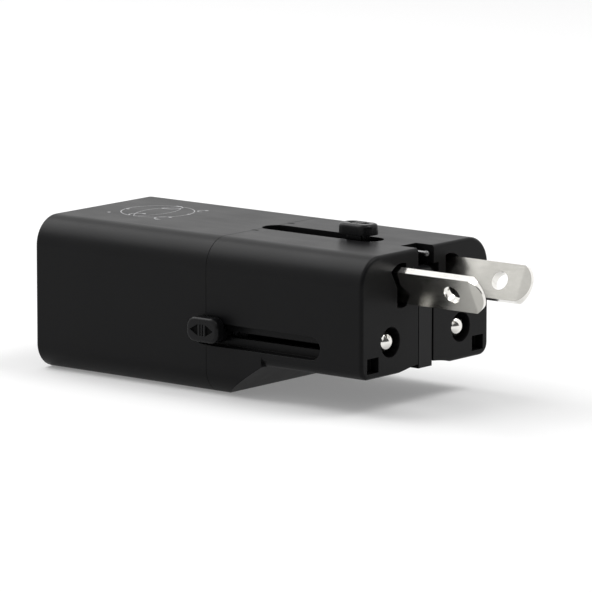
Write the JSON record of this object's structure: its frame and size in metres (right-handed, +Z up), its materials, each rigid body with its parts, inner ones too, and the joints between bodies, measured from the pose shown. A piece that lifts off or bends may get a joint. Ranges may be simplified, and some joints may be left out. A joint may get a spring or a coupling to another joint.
{
  "type": "universal travel adapter",
  "caption": "Slab-shaped travel adapter with slide-out twisting flat blades, slide-out round pins, a flip-out earth pin, an outlet at its rear and charging ports on its far side.",
  "frame": {"origin": "middle of the foot's width, 20.5 mm in front of the rear face, on the surface that the adapter stands on", "axes": "+X out of the plug face, +Z up from the foot, +Y to the left of the plug face's direction"},
  "size_m": [0.0885, 0.0369, 0.029],
  "materials": {
    "housing_plastic": "fine satin texture",
    "knob_plastic": "fine satin texture",
    "earth_plastic": "fine satin texture",
    "inner_plastic": "as moulded",
    "plated_pin": "bright nickel plate",
    "contact_brass": "plain",
    "spring_steel": "bright",
    "screw_steel": "blackened",
    "board": "solder mask",
    "ferrite": "sintered",
    "coil_tape": "polyester tape",
    "coil_copper": "enamelled copper wire",
    "pin_sleeve": "smooth moulding",
    "capacitor_sleeve": "can in a shrink sleeve",
    "port_steel": "bright",
    "port_tongue": "as moulded",
    "fuse_glass": "clear"
  },
  "bodies": {
    "housing": {"front_housing": "housing_plastic", "rear_housing": "housing_plastic", "outlet_panel": "housing_plastic", "panel_screws": "screw_steel", "partition": "inner_plastic", "divider": "inner_plastic", "blade_detent_spring": "spring_steel", "pin_detent_spring": "spring_steel", "earth_hinge_pin": "spring_steel", "earth_spring_wire": "spring_steel", "left_busbar": "contact_brass", "right_busbar": "contact_brass", "left_outlet_contact": "contact_brass", "right_outlet_contact": "contact_brass", "charger_board": "board", "transformer_core": "ferrite", "transformer_winding": "coil_copper", "transformer_tape": "coil_tape", "mains_capacitor": "capacitor_sleeve", "output_capacitors": "capacitor_sleeve", "lower_port_shell": "port_steel", "lower_port_tongue": "port_tongue", "upper_port_shell": "port_steel", "upper_port_tongue": "port_tongue", "port_spacer": "inner_plastic", "fuse_tube": "fuse_glass", "fuse_caps": "plated_pin", "fuse_holder": "inner_plastic", "fuse_clips": "contact_brass"},
    "blade_slider": {"blade_knob": "knob_plastic", "blade_knob_screw": "screw_steel", "blade_carriage": "inner_plastic", "left_blade_wiper": "contact_brass", "right_blade_wiper": "contact_brass"},
    "left_blade_set": {"left_blade": "plated_pin", "left_blade_collar": "inner_plastic", "left_blade_clip": "spring_steel"},
    "right_blade_set": {"right_blade": "plated_pin", "right_blade_collar": "inner_plastic", "right_blade_clip": "spring_steel"},
    "pin_slider": {"pin_knob": "knob_plastic", "pin_knob_screw": "screw_steel", "pin_carriage": "inner_plastic", "left_round_pin": "plated_pin", "right_round_pin": "plated_pin", "left_pin_sleeve": "pin_sleeve", "right_pin_sleeve": "pin_sleeve", "left_pin_wiper": "contact_brass", "right_pin_wiper": "contact_brass"},
    "earth_pin_flap": {"earth_pin": "earth_plastic"}
  },
  "joints": [
    {"name": "blade_slide", "type": "slide", "parent": "housing", "child": "blade_slider", "axis": [-1, 0, 0], "range_m": [0, 0.0175]},
    {"name": "left_blade_twist", "type": "hinge", "parent": "blade_slider", "child": "left_blade_set", "pos_m": [0.0445, -0.0065, 0.02075], "axis": [1, 0, 0], "range_deg": [-26, 4]},
    {"name": "right_blade_twist", "type": "hinge", "parent": "blade_slider", "child": "right_blade_set", "pos_m": [0.0445, 0.0065, 0.02075], "axis": [-1, 0, 0], "range_deg": [-26, 4]},
    {"name": "pin_slide", "type": "slide", "parent": "housing", "child": "pin_slider", "axis": [1, 0, 0], "range_m": [0, 0.0184]},
    {"name": "earth_pin_flip", "type": "hinge", "parent": "housing", "child": "earth_pin_flap", "pos_m": [0.0492, 0, 0.0216], "axis": [0, -1, 0], "range_deg": [0, 90]}
  ]
}
